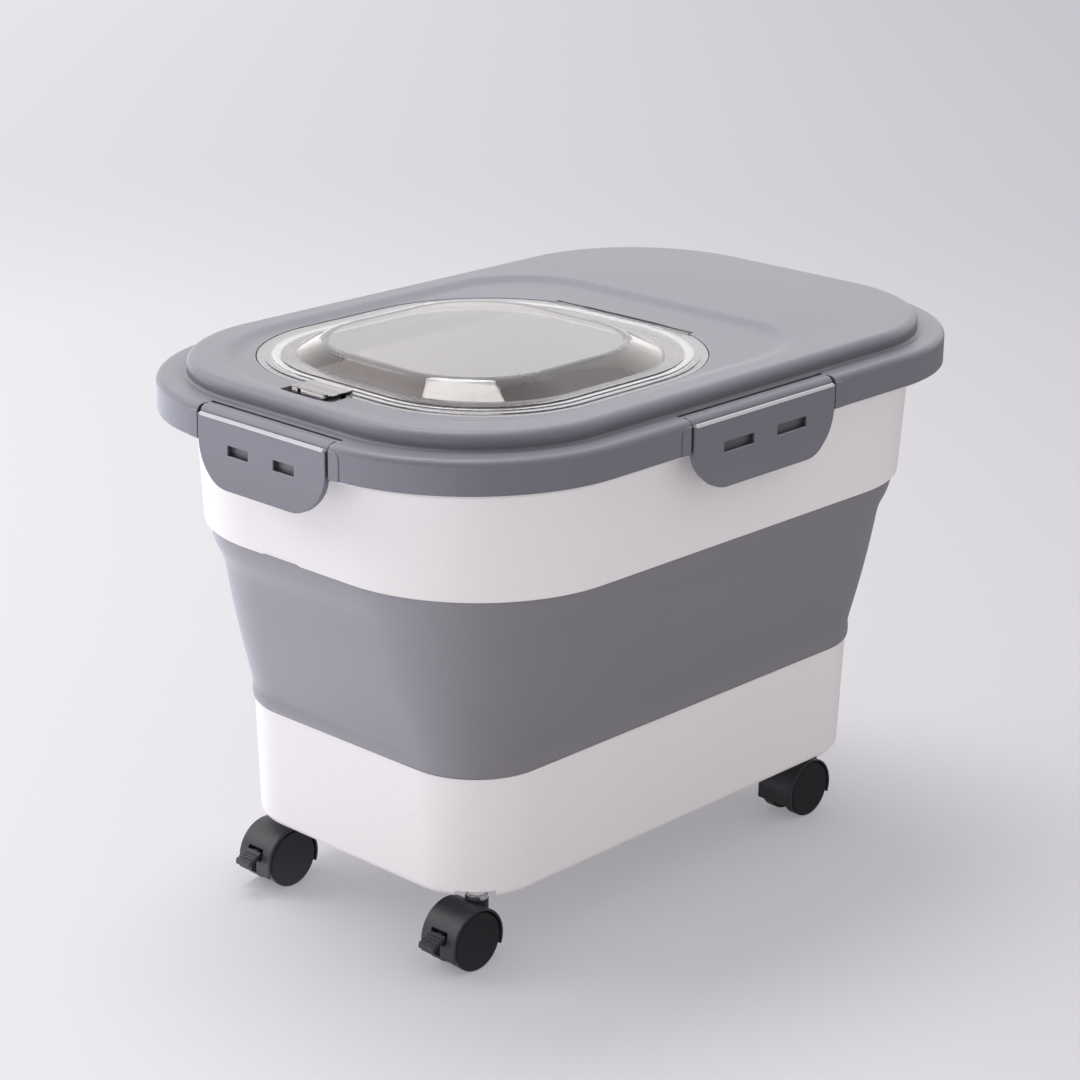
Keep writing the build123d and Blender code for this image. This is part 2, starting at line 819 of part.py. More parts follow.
def window_cover():
    """Clear flap: stepped ring, raised dome, skirt, hinge barrel and thumb tab."""
    cover = prism(window, ring_bottom, ring_top)
    for step in range(1, window_step_count + 1):
        terrace = window.grown(-step * window_step_width)
        cover += prism(terrace, ring_top, ring_top + step * window_step_height)
    cover += dome(0)
    hollow = dome_foot.grown(-dome_wall)
    cover -= dome(dome_wall)
    cover -= prism(hollow, ring_bottom, ring_top - dome_wall)
    skirt_outline = window_opening.grown(-window_skirt_gap)
    skirt = prism(skirt_outline, ring_bottom - window_skirt_depth, ring_bottom)
    skirt -= prism(
        skirt_outline.grown(-window_skirt_thickness), ring_bottom - window_skirt_depth, ring_bottom
    )
    cover += skirt
    # the ring stops short of the hinge axis, where only the strip and the barrel are left
    ring_rear = hinge_axis_y - hinge_pocket_radius
    cover -= box(
        (-window.width, window.width), (ring_rear, ring_rear + window.length),
        (ring_bottom - past, plateau_top),
    )
    cover += hinge_strip()
    for line in hinge_lines():
        cover -= line
    cover += rod_x(hinge_barrel_radius, -hinge_half, hinge_half, hinge_axis_y, hinge_axis_z)
    stub_half = hinge_pocket_half + hinge_stub_length
    cover += rod_x(hinge_stub_radius, -stub_half, stub_half, hinge_axis_y, hinge_axis_z)
    return cover + thumb_tab()


def hinge_strip():
    """Straight strip between the ring and the hinge barrel."""
    strip_front = hinge_axis_y - hinge_strip_width
    return box((-hinge_half, hinge_half), (strip_front, hinge_axis_y), (ring_bottom, ring_top))


def hinge_lines():
    """Fine grooves along the hinge strip, cut through the ring's steps down into the strip."""
    lines = []
    for line in range(hinge_line_count):
        y = hinge_axis_y - hinge_barrel_radius - line * hinge_line_pitch
        lines.append(
            box(
                (-hinge_half, hinge_half),
                (y - hinge_line_width, y),
                (ring_top - hinge_line_depth, plateau_top),
            )
        )
    return lines


def thumb_tab():
    """Clear tab over the finger pocket, with a front lip that stands up a little and hangs down."""
    back = window_front + tab_overlap
    low = ring_top + tab_rise - tab_thickness
    middle = (tab_front + back) / 2
    sketch = Pos(tab_x, middle, low) * RectangleRounded(tab_width, back - tab_front, tab_corner)
    tab = extrude(sketch, tab_thickness)
    lip_low = low - tab_lip_drop
    lip_sketch = Pos(tab_x, tab_front + tab_corner, lip_low) * RectangleRounded(
        tab_width, 2 * tab_corner, tab_corner - hinge_end_gap / 2
    )
    lip = extrude(lip_sketch, tab_lip_drop + tab_thickness + tab_lip_height)
    lip &= box(
        (tab_x - tab_width, tab_x + tab_width),
        (tab_front - past, tab_front + tab_lip_width),
        (lip_low, low + tab_thickness + tab_lip_height),
    )
    return tab + lip


def caster_stem():
    """Steel stem with its collar, a grip groove and the swivel pin, on the axis X = Y = 0."""
    stem = rod_z(stem_radius, collar_top, stem_top)
    stem += rod_z(collar_radius, collar_bottom, collar_top)
    stem += rod_z(stem_pin_radius, neck_top - stem_pin_depth, collar_bottom)
    groove_top = stem_top - grip_ring_drop
    groove_low = groove_top - grip_ring_width
    groove = rod_z(stem_radius + past, groove_low, groove_top)
    groove -= rod_z(stem_radius - grip_groove_depth, groove_low, groove_top)
    return stem - groove


def stem_grip_rings():
    """Spring rings in the stem grooves that hold the four casters in their sockets."""
    groove_top = stem_top - grip_ring_drop
    rings = []
    for x, y in caster_places.values():
        ring = rod_z(stem_radius, groove_top - grip_ring_width, groove_top, x, y)
        ring -= rod_z(stem_radius - grip_groove_depth, groove_top - grip_ring_width, groove_top, x, y)
        rings.append(ring)
    return Compound(children=rings)


# A caster's parts are modelled with the stem on the axis X = Y = 0 and the axle behind it at -Y
axle_y = -caster_trail
axle_z = wheel_radius
web_half = web_thickness / 2
wheel_inner_face = web_half + wheel_side_gap
wheel_outer_face = wheel_inner_face + wheel_thickness
hood_half_width = wheel_outer_face + hood_side_lip


def caster_hood(braked):
    """Black hood over the two wheels, with its centre web and the neck round the stem."""
    hood = rod_x(hood_radius, -hood_half_width, hood_half_width, axle_y, axle_z)
    straight = box(
        (-hood_half_width, hood_half_width), (axle_y - hood_radius, axle_y), (hood_lower_edge, axle_z)
    )
    hood += straight
    hood -= box(
        (-hood_radius, hood_radius),
        (axle_y - 2 * hood_radius, axle_y + 2 * hood_radius),
        (-hood_radius, hood_lower_edge),
    )
    hood = fillet(hood_side_edges(hood), hood_edge_radius)
    hood += rod_z(neck_radius, axle_z, neck_top)
    wheel_space_radius = wheel_radius + hood_wheel_gap
    for side in (-1, 1):
        start, end = sorted((side * web_half, side * (hood_half_width + past)))
        hood -= rod_x(wheel_space_radius, start, end, axle_y, axle_z)
        hood -= box(
            (start, end), (axle_y - wheel_space_radius, axle_y), (hood_lower_edge - past, axle_z)
        )
    hood -= rod_x(axle_radius, -hood_half_width, hood_half_width, axle_y, axle_z)
    hood -= rod_z(stem_pin_radius + running_gap, neck_top - stem_pin_depth - neck_gap, neck_top + past)
    if braked:
        hood -= brake_openings()
        pin_y = axle_y - brake_pivot_back
        pin_z = axle_z + brake_pivot_rise
        hood -= rod_x(brake_pin_radius, -web_half - past, web_half + past, pin_y, pin_z)
    return hood


def hood_side_edges(hood):
    """The hood's curved outer edges on its two sides."""
    return [
        edge
        for edge in hood.edges()
        if abs(abs(edge.center().X) - hood_half_width) < touch
        and edge.geom_type == GeomType.CIRCLE
    ]


def brake_openings():
    """T-shaped slot in the hood's wall and the space in the web for the brake arm."""
    wall_out = axle_y - hood_radius - past
    wall_in = axle_y - web_half
    pad_half = brake_pad_width / 2 + brake_slot_gap
    arm_half = brake_arm_width / 2 + brake_side_gap
    top = box(
        (-pad_half, pad_half), (wall_out, wall_in - hood_radius / 2),
        (axle_z + brake_slot_step, axle_z + brake_slot_top),
    )
    stem = box(
        (-arm_half, arm_half), (wall_out, wall_in - hood_radius / 2),
        (axle_z + brake_slot_bottom, axle_z + brake_slot_step),
    )
    cavity = box(
        (-arm_half, arm_half),
        (axle_y - hood_radius + hood_wall, axle_y - brake_cavity_front),
        (axle_z + brake_cavity_bottom, axle_z + brake_slot_top),
    )
    return top + stem + cavity


def brake_lever():
    """Ribbed brake pad with its arm, pivot boss and toe."""
    wall_face = axle_y - hood_radius + hood_wall / 2
    root_top = axle_z + brake_pad_top
    tip_y = wall_face - brake_pad_reach
    tip_top = root_top - brake_pad_drop
    pivot_y = axle_y - brake_pivot_back
    pivot_z = axle_z + brake_pivot_rise
    side_plane = Plane(origin=(0, 0, 0), x_dir=(0, 1, 0), z_dir=(1, 0, 0))
    pad = make_face(
        Polyline(
            (wall_face, root_top),
            (tip_y, tip_top),
            (tip_y, tip_top - brake_pad_thickness),
            (wall_face, root_top - brake_pad_thickness),
            close=True,
        )
    )
    lever = extrude(side_plane * pad, brake_pad_width / 2, both=True)
    arm = make_face(
        Polyline(
            (wall_face, root_top),
            (pivot_y, pivot_z + brake_boss_radius),
            (pivot_y + brake_boss_radius, pivot_z),
            (pivot_y + brake_boss_radius, pivot_z - brake_toe_depth),
            (pivot_y, pivot_z - brake_toe_depth),
            (pivot_y - brake_boss_radius, pivot_z - brake_boss_radius),
            (wall_face, root_top - brake_pad_thickness - brake_gusset_drop),
            (tip_y + brake_boss_radius, tip_top - brake_pad_thickness + brake_rib_height),
            (tip_y + brake_boss_radius, tip_top),
            close=True,
        )
    )
    lever += extrude(side_plane * arm, brake_arm_width / 2, both=True)
    slope = brake_pad_drop / brake_pad_reach
    for rib in range(brake_rib_count):
        y = tip_y + brake_rib_pitch * (rib + 1 / 2)
        z = tip_top + slope * (y - tip_y)
        lever += box(
            (-brake_pad_width / 2, brake_pad_width / 2),
            (y - brake_rib_width / 2, y + brake_rib_width / 2),
            (z - brake_rib_height, z + brake_rib_height),
        )
    return lever - rod_x(
        brake_pin_radius + running_gap, -brake_arm_width, brake_arm_width, pivot_y, pivot_z
    )


def brake_pin():
    """Pin through the hood's web that the brake lever turns on."""
    pin_y = axle_y - brake_pivot_back
    pin_z = axle_z + brake_pivot_rise
    return rod_x(brake_pin_radius, -web_half, web_half, pin_y, pin_z)


def caster_axle():
    """Steel axle pressed through the hood's web."""
    reach = wheel_inner_face + wheel_core_depth - axle_end_gap
    return rod_x(axle_radius, -reach, reach, axle_y, axle_z)


def caster_wheel(side):
    """One wheel of a twin caster, on the +X or -X side of the web."""
    inner = wheel_inner_face
    outer = wheel_outer_face
    wheel = rod_x(wheel_radius, inner, outer, axle_y, axle_z)
    wheel = fillet(wheel.edges().group_by(Axis.X)[-1], wheel_edge_radius)
    wheel = fillet(wheel.edges().group_by(Axis.X)[0], wheel_edge_radius / 2)
    core = rod_x(wheel_radius - wheel_tread_thickness, inner, inner + wheel_core_depth, axle_y, axle_z)
    core -= rod_x(wheel_hub_radius, inner, inner + wheel_core_depth, axle_y, axle_z)
    wheel -= core
    wheel -= rod_x(axle_radius + running_gap, inner - past, inner + wheel_core_depth, axle_y, axle_z)
    return wheel if side > 0 else mirror(wheel, about=Plane.YZ)


def casters():
    """All the casters' parts, by node name."""
    parts = {"stem_grip_rings": stem_grip_rings()}
    for name, (x, y) in caster_places.items():
        place = Pos(x, y, 0)
        braked = y < 0
        outward = 1 if x > 0 else -1
        parts[f"{name}_stem"] = place * caster_stem()
        parts[f"{name}_hood"] = place * caster_hood(braked)
        parts[f"{name}_axle"] = place * caster_axle()
        parts[f"{name}_outer_wheel"] = place * caster_wheel(outward)
        parts[f"{name}_inner_wheel"] = place * caster_wheel(-outward)
        if braked:
            parts[f"{name}_brake_lever"] = place * brake_lever()
            parts[f"{name}_brake_pin"] = place * brake_pin()
    return parts


def container():
    """Every part of the container, by node name."""
    parts = {
        "lower_tub": lower_tub(),
        "collapsible_band": collapsible_band(),
        "upper_frame": upper_frame(),
        "lid_shell": lid_shell(),
        "lid_seal": lid_seal(),
        "window_cover": window_cover(),
        "window_seal": window_seal(),
    }
    for name, (turn, reach, shift, size) in latch_places.items():
        parts[f"{name}_latch"] = latch_frame(turn, reach, shift) * latch(*size)
    parts.update(casters())
    return parts


os.makedirs("parts", exist_ok=True)
for node, shape in container().items():
    export_step(shape, f"parts/{node}.step")
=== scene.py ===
"""Looks of a collapsible pet food container on casters, dressed over its CAD frame.

Lengths are metres in the part's own frame: X is the width, Y the length, Z up, floor at Z = 0.
"""

import json
import logging
import math
from dataclasses import dataclass, field
from enum import Enum
from typing import Iterable

import bmesh
import bpy
from mathutils import Matrix, Vector

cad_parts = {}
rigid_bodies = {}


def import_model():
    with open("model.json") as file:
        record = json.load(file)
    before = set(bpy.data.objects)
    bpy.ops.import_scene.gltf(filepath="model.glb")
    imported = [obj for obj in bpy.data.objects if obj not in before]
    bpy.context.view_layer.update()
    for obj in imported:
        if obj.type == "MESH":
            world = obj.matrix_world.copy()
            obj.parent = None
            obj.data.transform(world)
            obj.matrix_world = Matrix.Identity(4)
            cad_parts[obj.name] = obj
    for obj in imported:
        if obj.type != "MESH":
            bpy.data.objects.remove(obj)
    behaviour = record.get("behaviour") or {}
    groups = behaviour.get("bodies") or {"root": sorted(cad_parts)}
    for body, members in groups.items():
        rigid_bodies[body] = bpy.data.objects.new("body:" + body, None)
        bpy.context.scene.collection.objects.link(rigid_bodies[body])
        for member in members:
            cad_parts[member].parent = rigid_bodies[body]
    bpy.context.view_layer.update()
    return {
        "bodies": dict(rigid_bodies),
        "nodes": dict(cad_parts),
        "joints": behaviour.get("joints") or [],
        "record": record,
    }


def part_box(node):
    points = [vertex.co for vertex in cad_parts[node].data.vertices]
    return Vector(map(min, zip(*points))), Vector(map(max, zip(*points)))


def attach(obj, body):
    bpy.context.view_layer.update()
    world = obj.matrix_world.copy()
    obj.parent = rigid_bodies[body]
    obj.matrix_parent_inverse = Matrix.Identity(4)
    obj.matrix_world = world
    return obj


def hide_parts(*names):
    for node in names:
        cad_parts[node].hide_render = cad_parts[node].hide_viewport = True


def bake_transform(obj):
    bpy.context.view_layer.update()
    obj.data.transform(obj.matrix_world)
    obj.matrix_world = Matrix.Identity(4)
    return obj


LOG = logging.getLogger("container")
MM = 0.001

Colour = tuple[float, float, float]
Socket = bpy.types.NodeSocket


class Body(Enum):
    """Rigid bodies of the container that pieces ride on."""

    TUB = "tub"
    FRAME = "frame"
    RIGHT_LATCH = "right_latch"
    LEFT_LATCH = "left_latch"
    REAR_LATCH = "rear_latch"
    FRONT_LATCH = "front_latch"


class Slot(Enum):
    """Material slots of the part's record."""

    GREY_PLASTIC = "grey_plastic"
    WHITE_PLASTIC = "white_plastic"
    GREY_SOFT = "grey_soft"
    SEAL_SOFT = "seal_soft"
    CLEAR_PLASTIC = "clear_plastic"
    BLACK_PLASTIC = "black_plastic"
    BLACK_WHEEL = "black_wheel"
    CHROME_STEEL = "chrome_steel"
    SPRING_STEEL = "spring_steel"


# Nodes and their sockets

# Numbers of the sockets that a Mix node uses for colours
MIX_SHARE, MIX_LOW, MIX_HIGH, MIX_RESULT = 0, 6, 7, 2


def opaque(colour: Colour) -> tuple[float, float, float, float]:
    """Gives a colour full opacity."""
    return (*colour, 1.0)


class NodeSheet:
    """Short way to add nodes to a tree and join their sockets."""

    def __init__(self, tree: bpy.types.NodeTree) -> None:
        """Starts from an empty tree.

        Args:
            tree: the tree to fill.
        """
        self.tree = tree
        self.tree.nodes.clear()

    def join(self, socket: Socket, value: object) -> None:
        """Joins an input to another node's output, or sets it to a plain value.

        Args:
            socket: the input.
            value: the output socket or the plain value.
        """
        if isinstance(value, Socket):
            self.tree.links.new(value, socket)
        else:
            socket.default_value = value

    def add(self, kind: str, **values: object) -> bpy.types.Node:
        """Adds a node.

        Args:
            kind: the node's type name, such as ShaderNodeBump.
            values: properties to set on the node itself.

        Returns:
            The new node.
        """
        node = self.tree.nodes.new(kind)
        for name, value in values.items():
            setattr(node, name, value)
        return node

    def feed(self, node: bpy.types.Node, **sockets: object) -> bpy.types.Node:
        """Sets or joins a node's inputs by name, with _ for a space.

        Args:
            node: the node whose inputs are set.
            sockets: a plain value, or another node's output socket, for each input.

        Returns:
            The same node.
        """
        for name, value in sockets.items():
            self.join(node.inputs[name.replace("_", " ")], value)
        return node

    def place(self, group: bpy.types.NodeTree, **sockets: object) -> bpy.types.Node:
        """Places a node group and feeds its inputs."""
        return self.feed(self.add("ShaderNodeGroup", node_tree=group), **sockets)

    def shader(self, kind: str, **sockets: object) -> Socket:
        """Adds a shader, feeds its inputs and gives its output."""
        return self.feed(self.add(kind), **sockets).outputs[0]

    def noise(self, **sockets: object) -> Socket:
        """Adds a noise pattern, feeds its inputs and gives its strength."""
        return self.feed(self.add("ShaderNodeTexNoise"), **sockets).outputs["Fac"]

    def axis(self, vector: Socket, letter: str) -> Socket:
        """Takes one number of a vector: its X, Y or Z."""
        return self.feed(self.add("ShaderNodeSeparateXYZ"), Vector=vector).outputs[letter]

    def maths(self, operation: str, *terms: float | Socket) -> Socket:
        """Adds a Math node.

        Args:
            operation: Blender's name of the operation.
            terms: values or sockets for its inputs, in order.

        Returns:
            The node's output socket.
        """
        node = self.add("ShaderNodeMath", operation=operation)
        for socket, term in zip(node.inputs, terms):
            self.join(socket, term)
        return node.outputs[0]

    def measure(self, operation: str, *vectors: object) -> Socket:
        """Adds a Vector Math node that gives a number.

        Args:
            operation: Blender's name of the operation.
            vectors: values or sockets for its inputs, in order.

        Returns:
            The number's socket.
        """
        node = self.add("ShaderNodeVectorMath", operation=operation)
        for socket, vector in zip(node.inputs, vectors):
            self.join(socket, vector)
        return node.outputs["Value"]

    def span(
        self, value: Socket, start: float, end: float, smooth: bool = True, **ends: float
    ) -> Socket:
        """Turns a span of values into a share from 0 to 1.

        Args:
            value: the value that changes over the surface.
            start: the value whose share is 0.
            end: the value whose share is 1.
            smooth: whether the share eases in and out.
            ends: To_Min and To_Max, where the result doesn't run from 0 to 1.

        Returns:
            The share.
        """
        interpolation = "SMOOTHSTEP" if smooth else "LINEAR"
        node = self.add("ShaderNodeMapRange", interpolation_type=interpolation)
        self.feed(node, Value=value, From_Min=start, From_Max=end, **ends)
        return node.outputs["Result"]

    def relief(self, depth: float, height: Socket, normal: Socket | None = None) -> Socket:
        """Adds a bump at full strength.

        Args:
            depth: how deep a height of 1 is.
            height: the height over the surface.
            normal: the normal that it starts from, if not the piece's own.

        Returns:
            The bumped normal.
        """
        node = self.feed(self.add("ShaderNodeBump"), Strength=1.0, Distance=depth, Height=height)
        if normal is not None:
            self.join(node.inputs["Normal"], normal)
        return node.outputs["Normal"]

    def blend_colours(self, share: Socket, low: Colour | Socket, high: Colour | Socket) -> Socket:
        """Mixes two colours by a mask.

        Args:
            share: the mask.
            low: the colour where the mask is 0.
            high: the colour where the mask is 1.

        Returns:
            The mixed colour's socket.
        """
        node = self.add("ShaderNodeMix", data_type="RGBA")
        self.join(node.inputs[MIX_SHARE], share)
        for number, colour in ((MIX_LOW, low), (MIX_HIGH, high)):
            plain = isinstance(colour, tuple)
            self.join(node.inputs[number], opaque(colour) if plain else colour)
        return node.outputs[MIX_RESULT]

    def blend_shaders(self, share: Socket, low: Socket, high: Socket) -> Socket:
        """Mixes two shaders by a mask.

        Args:
            share: the mask.
            low: the shader where the mask is 0.
            high: the shader where the mask is 1.

        Returns:
            The mixed shader's socket.
        """
        node = self.add("ShaderNodeMixShader")
        for socket, value in zip(node.inputs, (share, low, high)):
            self.join(socket, value)
        return node.outputs[0]


def new_group(
    name: str, inputs: Iterable[tuple[str, str, object]], outputs: Iterable[tuple[str, str]]
) -> tuple[bpy.types.NodeTree, NodeSheet, bpy.types.Node, bpy.types.Node]:
    """Makes an empty shader node group with named sockets.

    Args:
        name: the group's name.
        inputs: each input's name, kind and default, or None for no default.
        outputs: each output's name and kind.

    Returns:
        The group, its sheet, its input node and its output node.
    """
    tree = bpy.data.node_groups.new(name, "ShaderNodeTree")
    for label, kind, default in inputs:
        socket = tree.interface.new_socket(label, in_out="INPUT", socket_type=kind)
        if default is not None:
            socket.default_value = default
    for label, kind in outputs:
        tree.interface.new_socket(label, in_out="OUTPUT", socket_type=kind)
    sheet = NodeSheet(tree)
    return tree, sheet, sheet.add("NodeGroupInput"), sheet.add("NodeGroupOutput")


def new_material(name: str) -> tuple[bpy.types.Material, NodeSheet, Socket]:
    """Makes an empty material.

    Args:
        name: the material's name.

    Returns:
        The material, its sheet and the place on the piece.
    """
    material = bpy.data.materials.new(name)
    material.use_nodes = True
    sheet = NodeSheet(material.node_tree)
    return material, sheet, sheet.add("ShaderNodeTexCoord").outputs["Object"]


# Shader node groups

# Depth of the pits beside that of the fine grain
PIT_SHARE = 0.35
# Turn of the rounded normal from the flat one, from no edge to a full one
EDGE_TURN = (0.02, 0.3)
# Upward part of the normal, from an edge without painted highlight to one with all of it
EDGE_LEAN = (0.1, 0.6)
# Unsheltered share of the surroundings for the painted crevice shade, from a deep crevice to an
# open face
OPEN_SPAN = (0.2, 0.9)
# Stretch and heading that draw the scuff pattern out into hairlines
SCUFF_STRETCH = (40.0, 900.0, 340.0)
SCUFF_HEADING = (0.3, 0.2, 0.5)
# Strength of the scuff pattern, from no scuff to a full one
SCUFF_SPAN = (0.62, 0.8)
# Fineness of the smudge pattern, and its strength from no smudge to a full one
SMUDGE_SIZE = 26.0
SMUDGE_SPAN = (0.45, 0.75)


def mould_grain() -> bpy.types.NodeTree:
    """Fine spark-eroded grain of a moulded face.

    Returns:
        The group, with Vector, Size and Patch in, and Height and Drift out.
    """
    tree, sheet, start, end = new_group(
        "mould_grain",
        [
            ("Vector", "NodeSocketVector", None),
            ("Size", "NodeSocketFloat", 2600.0),
            ("Patch", "NodeSocketFloat", 14.0),
        ],
        [("Height", "NodeSocketFloat"), ("Drift", "NodeSocketFloat")],
    )
    spot, size = start.outputs["Vector"], start.outputs["Size"]
    fine = sheet.noise(Vector=spot, Scale=size, Detail=3.0)
    pits = sheet.feed(sheet.add("ShaderNodeTexVoronoi", feature="F1"), Vector=spot, Scale=size)
    slow = sheet.noise(Vector=spot, Scale=start.outputs["Patch"], Detail=2.0)
    height = sheet.maths("MULTIPLY_ADD", pits.outputs["Distance"], PIT_SHARE, fine)
    sheet.feed(end, Height=height, Drift=slow)
    return tree


def soft_edges_and_highlight() -> bpy.types.NodeTree:
    """Rounded look where two faces of a moulding meet, and the mask of a painted highlight on
    edges that face up.

    Returns:
        The group, with Radius in, and Normal and Edge out; Edge is the painted highlight's mask.
    """
    tree, sheet, start, end = new_group(
        "soft_edges_and_highlight",
        [("Radius", "NodeSocketFloat", 0.5 * MM)],
        [("Normal", "NodeSocketVector"), ("Edge", "NodeSocketFloat")],
    )
    rounded = sheet.feed(sheet.add("ShaderNodeBevel", samples=4), Radius=start.outputs["Radius"])
    normal = rounded.outputs["Normal"]
    flat = sheet.add("ShaderNodeNewGeometry").outputs["Normal"]
    turned = sheet.maths("SUBTRACT", 1.0, sheet.measure("DOT_PRODUCT", normal, flat))
    upward = sheet.span(sheet.axis(normal, "Z"), *EDGE_LEAN)
    edge = sheet.maths("MULTIPLY", sheet.span(turned, *EDGE_TURN), upward)
    sheet.feed(end, Normal=normal, Edge=edge)
    return tree


def painted_crevice_shade() -> bpy.types.NodeTree:
    """Painted shade in slots, gaps and seams, where the surroundings shelter the face.

    Returns:
        The group, with Reach in, and Open out: 0 deep in a crevice, 1 on an open face.
    """
    tree, sheet, start, end = new_group(
        "painted_crevice_shade",
        [("Reach", "NodeSocketFloat", 5.0 * MM)],
        [("Open", "NodeSocketFloat")],
    )
    shelter = sheet.feed(
        sheet.add("ShaderNodeAmbientOcclusion", samples=6), Distance=start.outputs["Reach"]
    )
    sheet.feed(end, Open=sheet.span(shelter.outputs["AO"], *OPEN_SPAN))
    return tree


def handling_marks() -> bpy.types.NodeTree:
    """Faint hairline scuffs and smudges from handling.

    Returns:
        The group, with Vector and Amount in, and Scuff and Smudge out.
    """
    tree, sheet, start, end = new_group(
        "handling_marks",
        [("Vector", "NodeSocketVector", None), ("Amount", "NodeSocketFloat", 0.5)],
        [("Scuff", "NodeSocketFloat"), ("Smudge", "NodeSocketFloat")],
    )
    spot, amount = start.outputs["Vector"], start.outputs["Amount"]
    drawn = sheet.feed(
        sheet.add("ShaderNodeMapping"), Vector=spot, Scale=SCUFF_STRETCH, Rotation=SCUFF_HEADING
    )
    hairs = sheet.noise(Vector=drawn.outputs["Vector"], Scale=1.0, Detail=2.0)
    cloud = sheet.noise(Vector=spot, Scale=SMUDGE_SIZE, Detail=4.0, Roughness=0.6)
    scuff = sheet.maths("MULTIPLY", sheet.span(hairs, *SCUFF_SPAN, smooth=False), amount)
    smudge = sheet.maths("MULTIPLY", sheet.span(cloud, *SMUDGE_SPAN), amount)
    sheet.feed(end, Scuff=scuff, Smudge=smudge)
    return tree


class Effects:
    """The node groups that the finishes share, made once."""

    def __init__(self) -> None:
        """Makes every group."""
        self.grain = mould_grain()
        self.edges = soft_edges_and_highlight()
        self.painted_crevice_shade = painted_crevice_shade()
        self.marks = handling_marks()


# Finishes


@dataclass(frozen=True)
class Moulding:
    """Opaque moulded plastic or rubber with a fine grain, a painted highlight on edges that face
    up and, where it is set, painted shade in slots, gaps and seams.
    """

    name: str
    slot: Slot
    colour: Colour
    drift_colour: Colour
    edge_highlight_colour: Colour
    scuff_colour: Colour
    roughness: float
    roughness_drift: float = 0.06
    grain_size: float = 2600.0
    grain_depth: float = 0.012 * MM
    edge_radius: float = 0.5 * MM
    edge_highlight_share: float = 0.35
    # Painted shade in sheltered spots: how far it looks, how dark it is and its colour
    crevice_reach: float = 5.0 * MM
    crevice_shade_strength: float = 0.0
    crevice_shade_colour: Colour = (0.03, 0.03, 0.035)
    marks: float = 0.3
    specular: float = 0.5

    def make(self, effects: Effects) -> bpy.types.Material:
        """Builds the material.

        Args:
            effects: the shared node groups.

        Returns:
            The material.
        """
        material, sheet, spot = new_material(self.name)
        grain = sheet.place(effects.grain, Vector=spot, Size=self.grain_size)
        edges = sheet.place(effects.edges, Radius=self.edge_radius)
        marks = sheet.place(effects.marks, Vector=spot, Amount=self.marks)
        drift = grain.outputs["Drift"]
        colour = sheet.blend_colours(drift, self.colour, self.drift_colour)
        # Painted highlight: a lighter colour laid on rounded edges that face up
        edge = sheet.maths("MULTIPLY", edges.outputs["Edge"], self.edge_highlight_share)
        colour = sheet.blend_colours(edge, colour, self.edge_highlight_colour)
        colour = sheet.blend_colours(marks.outputs["Scuff"], colour, self.scuff_colour)
        # Painted shade: darkens the colour where the surroundings shelter the face
        if self.crevice_shade_strength:
            hollow = sheet.place(effects.painted_crevice_shade, Reach=self.crevice_reach)
            shut = sheet.maths("SUBTRACT", 1.0, hollow.outputs["Open"])
            dark = sheet.maths("MULTIPLY", shut, self.crevice_shade_strength)
            colour = sheet.blend_colours(dark, colour, self.crevice_shade_colour)
        rough = sheet.maths("MULTIPLY_ADD", drift, self.roughness_drift, self.roughness)
        rough = sheet.maths("MULTIPLY_ADD", marks.outputs["Smudge"], -self.roughness_drift, rough)
        bumped = sheet.relief(self.grain_depth, grain.outputs["Height"], edges.outputs["Normal"])
        surface = sheet.shader(
            "ShaderNodeBsdfPrincipled",
            Base_Color=colour,
            Roughness=rough,
            Specular_IOR_Level=self.specular,
            Normal=bumped,
        )
        sheet.feed(sheet.add("ShaderNodeOutputMaterial"), Surface=surface)
        return material


@dataclass(frozen=True)
class ClearMoulding:
    """Clear plastic with a high polish, with a warm painted shade on the dome's slopes that stands
    for the shaded inside seen through them. Lamp light passes to what is inside.
    """

    name: str
    slot: Slot
    ring_tint: Colour
    slope_shade_tint: Colour
    dome_foot: float
    dome_crown: float
    shade: Colour
    foot_fade: float = 1.0 * MM
    crown_fade: float = 2.0 * MM
    roughness: float = 0.03
    scuff_roughness: float = 0.2
    ior: float = 1.49
    specular: float = 0.5
    ripple_size: float = 22.0
    ripple_depth: float = 0.02 * MM
    marks: float = 0.35

    def make(self, effects: Effects) -> bpy.types.Material:
        """Builds the material.

        Args:
            effects: the shared node groups.

        Returns:
            The material.
        """
        material, sheet, spot = new_material(self.name)
        marks = sheet.place(effects.marks, Vector=spot, Amount=self.marks)
        scuff = marks.outputs["Scuff"]
        rough = sheet.maths("MULTIPLY_ADD", scuff, self.scuff_roughness, self.roughness)
        ripple = sheet.noise(Vector=spot, Scale=self.ripple_size, Detail=1.0)
        # Painted shade: a warm, darker tint on the slopes between the dome's foot and crown
        height = sheet.axis(spot, "Z")
        raised = sheet.span(height, self.dome_foot, self.dome_foot + self.foot_fade, smooth=False)
        topped = sheet.span(height, self.dome_crown - self.crown_fade, self.dome_crown)
        shaded_slope = sheet.maths("SUBTRACT", raised, topped)
        surface = sheet.shader(
            "ShaderNodeBsdfPrincipled",
            Base_Color=sheet.blend_colours(shaded_slope, self.ring_tint, self.slope_shade_tint),
            Roughness=rough,
            IOR=self.ior,
            Specular_IOR_Level=self.specular,
            Transmission_Weight=1.0,
            Normal=sheet.relief(self.ripple_depth, ripple),
        )
        lamp_light = sheet.shader("ShaderNodeBsdfTransparent", Color=opaque(self.shade))
        path = sheet.add("ShaderNodeLightPath")
        either = sheet.blend_shaders(path.outputs["Is Shadow Ray"], surface, lamp_light)
        sheet.feed(sheet.add("ShaderNodeOutputMaterial"), Surface=either)
        return material


